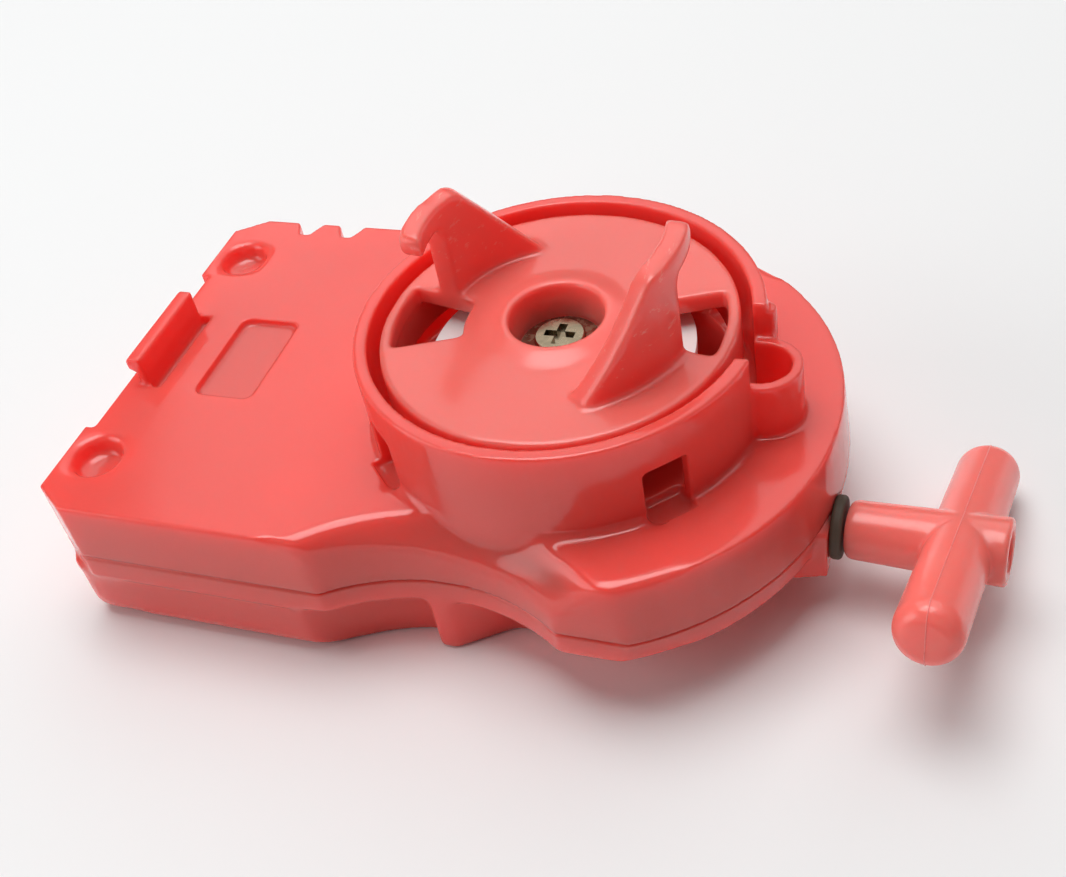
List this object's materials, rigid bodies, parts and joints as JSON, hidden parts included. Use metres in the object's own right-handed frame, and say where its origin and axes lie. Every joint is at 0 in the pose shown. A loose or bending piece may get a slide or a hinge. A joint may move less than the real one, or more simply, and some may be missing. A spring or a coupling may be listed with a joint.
{
  "type": "spinning top launcher",
  "caption": "Hand-held string launcher for spinning tops: waisted plastic case, open launch ring, hooked launch disc and a T-shaped pull handle on a rewinding cord.",
  "frame": {"origin": "on the spin axis of the launch disc, at the back face that the launcher lies on", "axes": "+X along the case towards the pull handle, +Y away from the side with the cord exit, +Z out of the deck towards the hooks"},
  "size_m": [0.1072, 0.0564, 0.0428],
  "materials": {
    "red_plastic": "glossy moulded plastic",
    "white_nylon": "moulded nylon",
    "ivory_acetal": "moulded acetal",
    "plated_steel": "pale plated",
    "spring_steel": "blued",
    "brass": "satin",
    "rubber": "matt",
    "cord": "braided"
  },
  "bodies": {
    "case": {"top_shell": "red_plastic", "bottom_shell": "red_plastic", "case_screws": "plated_steel", "shaft_bush": "white_nylon", "reel_axle": "plated_steel", "axle_clip": "spring_steel", "spring_cover": "plated_steel", "spring_anchor": "plated_steel", "power_spring": "spring_steel", "cord_guide": "brass", "bumper_ring": "rubber", "cord_lead": "cord"},
    "reel": {"cord_spool": "white_nylon", "cord_winding": "cord", "pawl_pins": "plated_steel", "pawl_springs": "spring_steel"},
    "pawl_a": {"drive_pawl_a": "spring_steel"},
    "pawl_b": {"drive_pawl_b": "spring_steel"},
    "launch_head": {"launch_disc": "red_plastic", "drive_hub": "white_nylon", "ratchet_cup": "ivory_acetal", "hub_screw": "plated_steel", "hub_washer": "plated_steel", "hub_nut": "plated_steel"},
    "cord_end": {"cord_tail": "cord", "cord_knot": "cord"},
    "handle": {"t_handle": "red_plastic"}
  },
  "joints": [
    {"name": "reel_spin", "type": "hinge", "parent": "case", "child": "reel", "pos_m": [0, 0, 0.0089], "axis": [0, 0, 1], "range_deg": [0, 3150], "stiffness_Nm_per_rad": 0.00055, "springref_deg": -3151.27, "deforming": ["power_spring"]},
    {"name": "handle_pull", "type": "slide", "parent": "case", "child": "cord_end", "axis": [0.9963, -0.0714, 0.0489], "range_m": [0, 0.578]},
    {"name": "handle_twist", "type": "hinge", "parent": "cord_end", "child": "handle", "pos_m": [0.0308, -0.0055, 0.0089], "axis": [0.9963, -0.0714, 0.0489], "continuous": true},
    {"name": "head_overrun", "type": "hinge", "parent": "reel", "child": "launch_head", "pos_m": [0, 0, 0.0306], "axis": [0, 0, 1], "range_deg": [0, 3600]},
    {"name": "pawl_a_swing", "type": "hinge", "parent": "reel", "child": "pawl_a", "pos_m": [0.0082, 0, 0.0129], "axis": [0, 0, -1], "range_deg": [0, 14], "stiffness_Nm_per_rad": 0.0001, "springref_deg": -11.46},
    {"name": "pawl_b_swing", "type": "hinge", "parent": "reel", "child": "pawl_b", "pos_m": [-0.0082, 0, 0.0129], "axis": [0, 0, -1], "range_deg": [0, 14], "stiffness_Nm_per_rad": 0.0001, "springref_deg": -11.46}
  ],
  "couplings": [
    {"joint": "handle_pull", "follows": "reel_spin", "m_per_rad": 0.0105}
  ]
}
